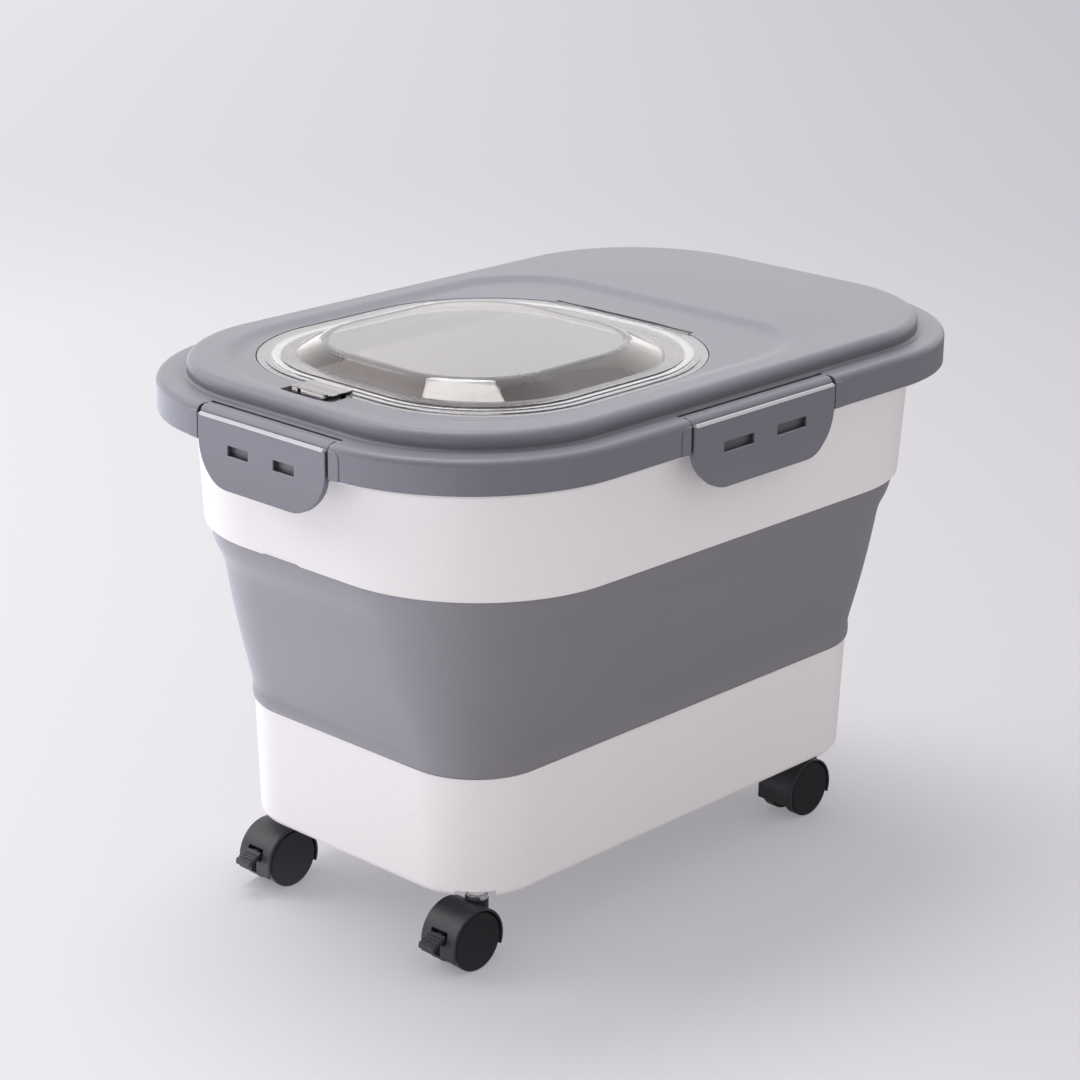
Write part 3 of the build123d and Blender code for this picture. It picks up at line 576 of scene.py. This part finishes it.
@dataclass(frozen=True)
class Metal:
    """Plated or plain steel."""

    name: str
    slot: Slot
    colour: Colour
    roughness: float
    smudge_roughness: float = 0.15
    brushed_size: float = 1800.0
    brushed_depth: float = 0.004 * MM
    edge_radius: float = 0.2 * MM
    marks: float = 0.6

    def make(self, effects: Effects) -> bpy.types.Material:
        """Builds the material.

        Args:
            effects: the shared node groups.

        Returns:
            The material.
        """
        material, sheet, spot = new_material(self.name)
        marks = sheet.place(effects.marks, Vector=spot, Amount=self.marks)
        grain = sheet.place(effects.grain, Vector=spot, Size=self.brushed_size)
        edges = sheet.place(effects.edges, Radius=self.edge_radius)
        smudge = marks.outputs["Smudge"]
        rough = sheet.maths("MULTIPLY_ADD", smudge, self.smudge_roughness, self.roughness)
        bumped = sheet.relief(self.brushed_depth, grain.outputs["Height"], edges.outputs["Normal"])
        surface = sheet.shader(
            "ShaderNodeBsdfPrincipled",
            Base_Color=opaque(self.colour),
            Metallic=1.0,
            Roughness=rough,
            Normal=bumped,
        )
        sheet.feed(sheet.add("ShaderNodeOutputMaterial"), Surface=surface)
        return material


Finish = Moulding | ClearMoulding | Metal

FINISHES: tuple[Finish, ...] = (
    Moulding(
        name="matte_grey_lid_plastic",
        slot=Slot.GREY_PLASTIC,
        colour=(0.172, 0.171, 0.201),
        drift_colour=(0.182, 0.181, 0.211),
        edge_highlight_colour=(0.66, 0.66, 0.70),
        scuff_colour=(0.30, 0.30, 0.33),
        roughness=0.42,
        # Strong painted highlight on the rounded edges that face up
        edge_highlight_share=1.0,
        edge_radius=1.1 * MM,
        marks=0.15,
        # Strong painted shade in the latch slots, gaps and seams
        crevice_reach=9.0 * MM,
        crevice_shade_strength=0.95,
    ),
    Moulding(
        name="satin_white_tub_plastic",
        slot=Slot.WHITE_PLASTIC,
        colour=(0.86, 0.84, 0.84),
        drift_colour=(0.88, 0.86, 0.86),
        edge_highlight_colour=(0.88, 0.88, 0.88),
        scuff_colour=(0.76, 0.75, 0.75),
        roughness=0.4,
    ),
    Moulding(
        name="soft_grey_band_rubber",
        slot=Slot.GREY_SOFT,
        colour=(0.22, 0.212, 0.232),
        drift_colour=(0.23, 0.222, 0.242),
        edge_highlight_colour=(0.30, 0.30, 0.33),
        scuff_colour=(0.26, 0.26, 0.28),
        roughness=0.5,
        grain_depth=0.02 * MM,
        edge_highlight_share=0.15,
        specular=0.7,
    ),
    Moulding(
        name="grey_seal_rubber",
        slot=Slot.SEAL_SOFT,
        colour=(0.34, 0.34, 0.36),
        drift_colour=(0.36, 0.36, 0.38),
        edge_highlight_colour=(0.50, 0.50, 0.52),
        scuff_colour=(0.38, 0.38, 0.40),
        roughness=0.5,
    ),
    Moulding(
        name="black_caster_plastic",
        slot=Slot.BLACK_PLASTIC,
        colour=(0.028, 0.028, 0.034),
        drift_colour=(0.034, 0.034, 0.040),
        edge_highlight_colour=(0.10, 0.10, 0.11),
        scuff_colour=(0.11, 0.11, 0.12),
        roughness=0.42,
        specular=0.35,
        grain_size=1500.0,
        grain_depth=0.03 * MM,
        edge_radius=0.3 * MM,
        marks=0.6,
    ),
    Moulding(
        name="satin_black_wheel_plastic",
        slot=Slot.BLACK_WHEEL,
        colour=(0.014, 0.014, 0.018),
        drift_colour=(0.018, 0.018, 0.022),
        edge_highlight_colour=(0.05, 0.05, 0.055),
        scuff_colour=(0.06, 0.06, 0.065),
        roughness=0.4,
        specular=0.16,
        edge_radius=0.3 * MM,
    ),
    ClearMoulding(
        name="clear_window_plastic",
        slot=Slot.CLEAR_PLASTIC,
        ring_tint=(1.0, 0.99, 1.0),
        slope_shade_tint=(0.98, 0.88, 0.79),
        dome_foot=311.6 * MM,
        dome_crown=318.0 * MM,
        shade=(0.90, 0.89, 0.90),
    ),
    Metal(
        name="bright_plated_stem_steel",
        slot=Slot.CHROME_STEEL,
        colour=(0.78, 0.78, 0.80),
        roughness=0.16,
    ),
    Metal(
        name="plain_spring_steel",
        slot=Slot.SPRING_STEEL,
        colour=(0.50, 0.50, 0.52),
        roughness=0.35,
    ),
)

# Light grey finish of the ledge strips: a painted highlight where each latch's ledge catches the
# light
PAINTED_LEDGE_HIGHLIGHT = Moulding(
    name="grey_ledge_painted_highlight",
    slot=Slot.GREY_PLASTIC,
    colour=(0.64, 0.64, 0.67),
    drift_colour=(0.65, 0.65, 0.68),
    edge_highlight_colour=(0.66, 0.66, 0.69),
    scuff_colour=(0.54, 0.54, 0.57),
    roughness=0.30,
    edge_radius=0.2 * MM,
)


class Wardrobe:
    """Every finish as a ready material: one to each slot of the record, and the painted highlight
    of the latch ledges.
    """

    def __init__(self) -> None:
        """Makes the shared groups and each finish."""
        effects = Effects()
        self.materials = {finish.slot: finish.make(effects) for finish in FINISHES}
        self.ledge_highlight = PAINTED_LEDGE_HIGHLIGHT.make(effects)

    def dress(self, piece: bpy.types.Object, slot: Slot) -> None:
        """Gives a piece one finish all over.

        Args:
            piece: the object to dress.
            slot: the record's slot that it belongs to.
        """
        piece.data.materials.clear()
        piece.data.materials.append(self.materials[slot])

    def dress_frame(self, frame: dict) -> None:
        """Gives each CAD node the finish of its slot in the record.
        """
        for part in frame["record"]["subparts"]:
            self.dress(frame["nodes"][part["node"]], Slot(part["material_slot"]))


# Pieces, rounded outlines and lofts


def add_piece(name: str, shape: bmesh.types.BMesh) -> bpy.types.Object:
    """Puts a finished shape into the scene, at the origin.

    Args:
        name: the piece's name.
        shape: the shape, which is used up.

    Returns:
        The piece.
    """
    mesh = bpy.data.meshes.new(name)
    shape.to_mesh(mesh)
    shape.free()
    piece = bpy.data.objects.new(name, mesh)
    bpy.context.scene.collection.objects.link(piece)
    return piece


@dataclass(frozen=True)
class Outline:
    """Rectangle with round corners, centred on the container's middle."""

    width: float
    length: float
    corner: float

    def grown(self, margin: float) -> "Outline":
        """Moves every side outward.

        Args:
            margin: how far, or less than 0 for inward.

        Returns:
            The new outline.
        """
        return Outline(self.width + 2 * margin, self.length + 2 * margin, self.corner + margin)

    def towards(self, other: "Outline", share: float) -> "Outline":
        """Steps part of the way to another outline.

        Args:
            other: the outline at share 1.
            share: the part of the way.

        Returns:
            The outline between them.
        """
        return Outline(
            self.width + share * (other.width - self.width),
            self.length + share * (other.length - self.length),
            self.corner + share * (other.corner - self.corner),
        )


@dataclass(frozen=True)
class Ring:
    """One section of a loft: an outline at a height."""

    outline: Outline
    height: float

    def lay(self, shape: bmesh.types.BMesh, corner_steps: int) -> list[bmesh.types.BMEdge]:
        """Adds the section's edges to a mesh.

        Args:
            shape: the mesh to add to.
            corner_steps: straight steps in each round corner.

        Returns:
            The closed loop of edges.
        """
        corners = bmesh.ops.create_grid(shape, x_segments=1, y_segments=1, size=0.5)["verts"]
        size = (self.outline.width, self.outline.length, 1.0)
        bmesh.ops.scale(shape, vec=size, verts=corners)
        bmesh.ops.translate(shape, vec=(0.0, 0.0, self.height), verts=corners)
        rounded = bmesh.ops.bevel(
            shape,
            geom=corners,
            offset=self.outline.corner,
            affect="VERTICES",
            segments=corner_steps,
            profile=0.5,
            material=-1,
        )
        face = rounded["verts"][0].link_faces[0]
        loop = list(face.edges)
        bmesh.ops.delete(shape, geom=[face], context="FACES_ONLY")
        return loop


def loft(name: str, rings: list[Ring], corner_steps: int) -> bpy.types.Object:
    """Skins a closed row of sections, whose last joins the first.

    The sections are bridged far apart and then brought to their heights, because bridging two
    that lie in one plane would also fill their middle.

    Args:
        name: the piece's name.
        rings: the sections in order.
        corner_steps: straight steps in each round corner.

    Returns:
        The smooth-shaded piece, at the origin.
    """
    shape = bmesh.new()
    loops = []
    points = []
    for number, ring in enumerate(rings):
        loop = ring.lay(shape, corner_steps)
        loops.append(loop)
        points.append(list({point for edge in loop for point in edge.verts}))
        bmesh.ops.translate(shape, vec=(0.0, 0.0, number), verts=points[-1])
    for loop, after in zip(loops, loops[1:] + loops[:1]):
        bmesh.ops.bridge_loops(shape, edges=loop + after)
    for number, section in enumerate(points):
        bmesh.ops.translate(shape, vec=(0.0, 0.0, -number), verts=section)
    bmesh.ops.recalc_face_normals(shape, faces=shape.faces[:])
    piece = add_piece(name, shape)
    piece.data.shade_smooth()
    return piece


def settle(piece: bpy.types.Object) -> None:
    """Turns a piece's modifiers into its plain mesh.

    Args:
        piece: the object, with its modifiers set.
    """
    view = bpy.context.evaluated_depsgraph_get()
    shaped = bpy.data.meshes.new_from_object(piece.evaluated_get(view))
    piece.modifiers.clear()
    piece.data = shaped


# Folding band


@dataclass(frozen=True)
class FoldingBand:
    """Soft, thin band from the tub's rim up into the frame's foot."""

    rim_corner: float = 43.0 * MM
    foot_corner: float = 91.0 * MM
    head_corner: float = 94.5 * MM
    foot_width: float = 264.0 * MM
    foot_length: float = 404.0 * MM
    head_width: float = 271.0 * MM
    head_length: float = 411.0 * MM
    wall: float = 2.2 * MM
    lip_rise: float = 9.2 * MM
    lip_bulge: float = 1.8 * MM
    lip_tuck: float = 1.25 * MM
    cone_top: float = 201.5 * MM
    cone_inset: float = 9.0 * MM
    cone_bulge: float = 1.2 * MM
    shoulder_height: float = 208.0 * MM
    shoulder_inset: float = 4.2 * MM
    foot_inset: float = 2.0 * MM
    collar_inset: float = 2.8 * MM
    collar_share: float = 0.22
    gap: float = 0.3 * MM
    cone_steps: int = 5
    corner_steps: int = 10
    smooth_levels: int = 2

    def rings(self) -> list[Ring]:
        """Works out the band's closed section from the tub's, the band's and the frame's boxes.

        Returns:
            The sections, up the outside and down the inside.
        """
        tub_low, tub_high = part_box("lower_tub")
        band_low, band_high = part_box("collapsible_band")
        frame_low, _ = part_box("upper_frame")
        rim = Outline(tub_high[0] - tub_low[0], tub_high[1] - tub_low[1], self.rim_corner)
        foot = Outline(self.foot_width, self.foot_length, self.foot_corner)
        head = Outline(self.head_width, self.head_length, self.head_corner)
        low, high = band_low[2], band_high[2]
        crease = low + self.lip_rise
        start = rim.grown(self.lip_bulge / 2)
        waist = foot.grown(-self.cone_inset)
        collar = foot.towards(head, self.collar_share).grown(-self.collar_inset)
        mouth = frame_low[2] - self.gap
        lip = rim.grown(self.lip_bulge)
        outside = [
            Ring(rim.grown(-self.lip_tuck), low),
            Ring(start, low),
            Ring(lip, low + self.lip_bulge),
            Ring(lip, tub_high[2]),
            Ring(start, crease),
        ]
        for step in range(1, self.cone_steps + 1):
            share = step / (self.cone_steps + 1)
            swell = self.cone_bulge * math.sin(math.pi * share)
            height = crease + share * (self.cone_top - crease)
            outside.append(Ring(start.towards(waist, share).grown(swell), height))
        outside += [
            Ring(waist, self.cone_top),
            Ring(foot.grown(-self.shoulder_inset), self.shoulder_height),
            Ring(foot.grown(-self.foot_inset), mouth),
            Ring(foot.grown(-self.collar_inset), mouth),
            Ring(collar, high),
        ]
        inside = [
            Ring(collar.grown(-self.wall), high),
            Ring(foot.grown(-self.collar_inset - self.wall), mouth),
            Ring(waist.grown(-self.wall), self.cone_top),
            Ring(start.towards(waist, 0.5).grown(-self.wall), (crease + self.cone_top) / 2),
            Ring(rim.grown(-self.lip_tuck - self.wall), crease),
            Ring(rim.grown(-self.lip_tuck - self.wall), tub_high[2]),
            Ring(rim.grown(-self.lip_tuck), tub_high[2]),
        ]
        return outside + inside

    def add(self, wardrobe: Wardrobe) -> None:
        """Builds the band in place of its CAD solid.

        Args:
            wardrobe: the ready materials.
        """
        band = loft("folding_band", self.rings(), self.corner_steps)
        smooth = band.modifiers.new("smooth", "SUBSURF")
        smooth.levels = smooth.render_levels = self.smooth_levels
        settle(band)
        wardrobe.dress(band, Slot.GREY_SOFT)
        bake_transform(band)
        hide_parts("collapsible_band")


# Latch ledges' painted highlight strips


@dataclass(frozen=True)
class LedgeHighlightStrips:
    """Light grey strip on the narrow ledge along the top of each latch's plate: a painted
    highlight where the ledge catches the light.
    """

    drop: float = 3.6 * MM
    flare: float = 2.2 * MM
    width: float = 1.9 * MM
    depth: float = 2.1 * MM
    rise: float = 0.7 * MM
    proud: float = 0.3 * MM
    end_margin: float = 4.8 * MM
    corner: float = 0.45 * MM
    corner_steps: int = 2

    def strip(self, name: str, low: Vector, high: Vector) -> bpy.types.Object:
        """Makes the strip of one latch from the latch's box.

        Args:
            name: the strip's name.
            low: the lowest corner of the latch.
            high: the highest corner of the latch.

        Returns:
            The strip.
        """
        size = high - low
        along, out = (1, 0) if size.y > size.x else (0, 1)
        side = 1.0 if low[out] + high[out] > 0 else -1.0
        face = (high if side > 0 else low)[out] - side * self.flare
        centre = (low + high) / 2
        centre[out] = face + side * (self.proud - self.width / 2)
        centre.z = high.z - self.drop + self.rise - self.depth / 2
        spread = Vector((self.width, self.width, self.depth))
        spread[along] = size[along] - 2 * self.end_margin
        shape = bmesh.new()
        bmesh.ops.create_cube(shape, size=1.0, matrix=Matrix.Diagonal(spread.to_4d()))
        bmesh.ops.bevel(
            shape,
            geom=shape.edges[:],
            offset=self.corner,
            affect="EDGES",
            segments=self.corner_steps,
            material=-1,
            clamp_overlap=True,
        )
        bmesh.ops.translate(shape, verts=shape.verts, vec=centre)
        return add_piece(name, shape)

    def add(self, wardrobe: Wardrobe) -> None:
        """Makes the four painted highlight strips, each riding on its latch.

        Args:
            wardrobe: the ready materials.
        """
        for body in (Body.RIGHT_LATCH, Body.LEFT_LATCH, Body.REAR_LATCH, Body.FRONT_LATCH):
            strip = self.strip(f"{body.value}_ledge", *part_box(body.value))
            strip.data.materials.append(wardrobe.ledge_highlight)
            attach(strip, body.value)


# Camera, light and floor

# A ray with fewer passages through clear plastic than this has had none
NO_PASSAGE = 0.5


@dataclass(frozen=True)
class StudioCamera:
    """Camera at the photograph's viewing angle."""

    place: tuple[float, float, float] = (1.0502, -1.1363, 0.7149)
    azimuth: float = 43.189
    elevation: float = 18.844
    roll: float = 0.705
    lens: float = 94.92
    sensor: float = 36.0
    reach: float = 100.0

    def add(self) -> None:
        """Makes the camera and hands it to the scene."""
        data = bpy.data.cameras.new("studio_camera")
        data.lens = self.lens
        data.sensor_width = self.sensor
        data.clip_end = self.reach
        camera = bpy.data.objects.new("studio_camera", data)
        turn = math.radians(self.azimuth)
        rise = math.radians(self.elevation)
        back = Vector(
            (math.sin(turn) * math.cos(rise), -math.cos(turn) * math.cos(rise), math.sin(rise))
        )
        right = Vector((math.cos(turn), math.sin(turn), 0.0))
        upward = back.cross(right)
        axes = Matrix((right, upward, back)).transposed()
        roll = Matrix.Rotation(math.radians(self.roll), 3, "Z")
        camera.matrix_world = Matrix.Translation(self.place) @ (axes @ roll).to_4x4()
        bpy.context.scene.collection.objects.link(camera)
        bpy.context.scene.camera = camera


@dataclass(frozen=True)
class SoftBox:
    """Oval soft light that faces a point."""

    name: str
    place: tuple[float, float, float]
    aim: tuple[float, float, float]
    size: tuple[float, float]
    power: float

    def add(self) -> None:
        """Makes the lamp."""
        data = bpy.data.lights.new(self.name, "AREA")
        data.shape = "ELLIPSE"
        data.size, data.size_y = self.size
        data.energy = self.power
        lamp = bpy.data.objects.new(self.name, data)
        facing = Vector(self.aim) - Vector(self.place)
        turned = facing.to_track_quat("-Z", "Y").to_matrix().to_4x4()
        lamp.matrix_world = Matrix.Translation(self.place) @ turned
        bpy.context.scene.collection.objects.link(lamp)


@dataclass(frozen=True)
class Studio:
    """Pale seamless paper, soft boxes and an even pale surround."""

    floor_radius: float = 14.0
    floor_steps: int = 96
    # Lit floor colour with painted light on the left and painted shade on the right
    floor_painted_light: Colour = (0.88, 0.87, 0.90)
    floor_painted_shade: Colour = (0.50, 0.49, 0.51)
    floor_turn: float = 65.0
    # Even glowing tone far from the object, painted lighter on the left and darker on the right
    paper_painted_light: Colour = (0.82, 0.82, 0.85)
    paper_painted_shade: Colour = (0.54, 0.53, 0.57)
    paper_turn: float = 43.0
    paper_roughness: float = 0.75
    paper_specular: float = 0.1
    paper_reach: float = 1.6
    # Painted reflection: the glow that glossy faces see in the paper, bright on the left and dark
    # on the right
    mirror_painted_bright: Colour = (0.85, 0.86, 0.98)
    mirror_painted_dark: Colour = (0.10, 0.10, 0.10)
    mirror_gain: float = 2.9
    mirror_start: float = -0.35
    mirror_end: float = 0.05
    # Least share of the even glowing tone over the lit floor, which lightens the shadow near the
    # object
    shade_lift: float = 0.34
    fade_start: float = 0.7
    fade_end: float = 2.2
    surround_colour: Colour = (0.81, 0.79, 0.80)
    surround_strength: float = 0.88
    mirrored_side: tuple[float, float, float] = (-0.9, 0.45, 0.0)
    mirrored_spread: float = 0.6
    mirrored_least: float = 0.6
    mirrored_most: float = 2.1
    camera: StudioCamera = field(default_factory=StudioCamera)
    boxes: tuple[SoftBox, ...] = (
        SoftBox(
            name="key_box",
            place=(-4.4, -2.8, 3.6),
            aim=(0.0, 0.0, 0.15),
            size=(3.6, 3.6),
            power=85.0,
        ),
        SoftBox(
            name="top_box",
            place=(-1.4, 0.3, 5.0),
            aim=(0.0, 0.0, 0.2),
            size=(3.2, 2.4),
            power=125.0,
        ),
    )

    @staticmethod
    def mirrored_share(sheet: NodeSheet, path: bpy.types.Node) -> Socket:
        """Tells the rays that a glossy face mirrors from those that went through the clear cover.

        Args:
            sheet: the sheet with the light path.
            path: the light path node.

        Returns:
            1 for a mirrored ray and 0 for any other.
        """
        outside = sheet.maths("LESS_THAN", path.outputs["Transmission Depth"], NO_PASSAGE)
        return sheet.maths("MULTIPLY", path.outputs["Is Glossy Ray"], outside)

    @staticmethod
    def share_across(
        sheet: NodeSheet, spot: Socket, turn: float, start: float, end: float
    ) -> Socket:
        """Makes a smooth share, 0 on the left side of the paper and 1 on the right.

        Args:
            sheet: the paper's sheet.
            spot: the place on the paper.
            turn: the heading of the right side, in degrees from +X.
            start: where the share leaves 0, in metres from the middle.
            end: where it reaches 1.

        Returns:
            The share.
        """
        turned = sheet.feed(
            sheet.add("ShaderNodeMapping"), Vector=spot, Rotation=(0.0, 0.0, -math.radians(turn))
        )
        return sheet.span(sheet.axis(turned.outputs[0], "X"), start, end)

    def paper(self) -> bpy.types.Material:
        """Makes the paper: lit near the object, with painted light on its left side and painted
        shade on its right, its shadow lightened there by a share of an even glowing tone;
        even in tone far from it, that tone painted lighter on the left; and a painted reflection,
        bright on its left side and dark on its right, where a glossy face mirrors it.

        Returns:
            The material.
        """
        material, sheet, spot = new_material("studio_paper")
        reach = self.paper_reach
        floor_shade_share = self.share_across(sheet, spot, self.floor_turn, -reach, reach)
        paper_shade_share = self.share_across(sheet, spot, self.paper_turn, -reach, reach)
        reflection_shade_share = self.share_across(
            sheet, spot, self.paper_turn, self.mirror_start, self.mirror_end
        )
        colour = sheet.blend_colours(floor_shade_share, self.floor_painted_light, self.floor_painted_shade)
        tone = sheet.blend_colours(paper_shade_share, self.paper_painted_light, self.paper_painted_shade)
        mirrored = sheet.blend_colours(reflection_shade_share, self.mirror_painted_bright, self.mirror_painted_dark)
        far = sheet.span(sheet.measure("LENGTH", spot), self.fade_start, self.fade_end)
        path = sheet.add("ShaderNodeLightPath")
        evenness = sheet.maths("MAXIMUM", far, self.shade_lift)
        seen = sheet.maths("MULTIPLY", evenness, path.outputs["Is Camera Ray"])
        lit = sheet.shader(
            "ShaderNodeBsdfPrincipled",
            Base_Color=colour,
            Roughness=self.paper_roughness,
            Specular_IOR_Level=self.paper_specular,
        )
        even = sheet.shader("ShaderNodeEmission", Color=tone)
        # Painted reflection: a glow that only glossy rays see
        mirror = sheet.shader("ShaderNodeEmission", Color=mirrored, Strength=self.mirror_gain)
        near = sheet.blend_shaders(seen, lit, even)
        paper = sheet.blend_shaders(self.mirrored_share(sheet, path), near, mirror)
        sheet.feed(sheet.add("ShaderNodeOutputMaterial"), Surface=paper)
        return material

    def floor(self) -> None:
        """Makes the floor disc."""
        shape = bmesh.new()
        bmesh.ops.create_circle(
            shape, cap_ends=True, segments=self.floor_steps, radius=self.floor_radius
        )
        floor = add_piece("studio_floor", shape)
        floor.data.materials.append(self.paper())

    def surround(self) -> None:
        """Makes the pale world, with a bright and a dark side where a glossy face mirrors it."""
        world = bpy.data.worlds.new("studio_surround")
        world.use_nodes = True
        sheet = NodeSheet(world.node_tree)
        path = sheet.add("ShaderNodeLightPath")
        way = sheet.add("ShaderNodeTexCoord").outputs["Generated"]
        bright = sheet.span(
            sheet.measure("DOT_PRODUCT", way, self.mirrored_side),
            -self.mirrored_spread,
            self.mirrored_spread,
            To_Min=self.mirrored_least - self.surround_strength,
            To_Max=self.mirrored_most - self.surround_strength,
        )
        strength = sheet.maths(
            "MULTIPLY_ADD", self.mirrored_share(sheet, path), bright, self.surround_strength
        )
        backdrop = sheet.shader(
            "ShaderNodeBackground", Color=opaque(self.surround_colour), Strength=strength
        )
        sheet.feed(sheet.add("ShaderNodeOutputWorld"), Surface=backdrop)
        bpy.context.scene.world = world

    def add(self) -> None:
        """Makes the whole studio."""
        bpy.context.scene.view_settings.view_transform = "Standard"
        self.camera.add()
        self.floor()
        self.surround()
        for box in self.boxes:
            box.add()


def main() -> None:
    """Builds and dresses the container in order."""
    logging.basicConfig(level=logging.INFO, format="%(message)s")
    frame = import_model()
    Studio().add()
    LOG.info("studio ready")
    wardrobe = Wardrobe()
    wardrobe.dress_frame(frame)
    LOG.info("%d nodes dressed", len(frame["nodes"]))
    FoldingBand().add(wardrobe)
    LOG.info("band ready")
    LedgeHighlightStrips().add(wardrobe)
    LOG.info("ledges ready")


if __name__ == "__main__":
    main()
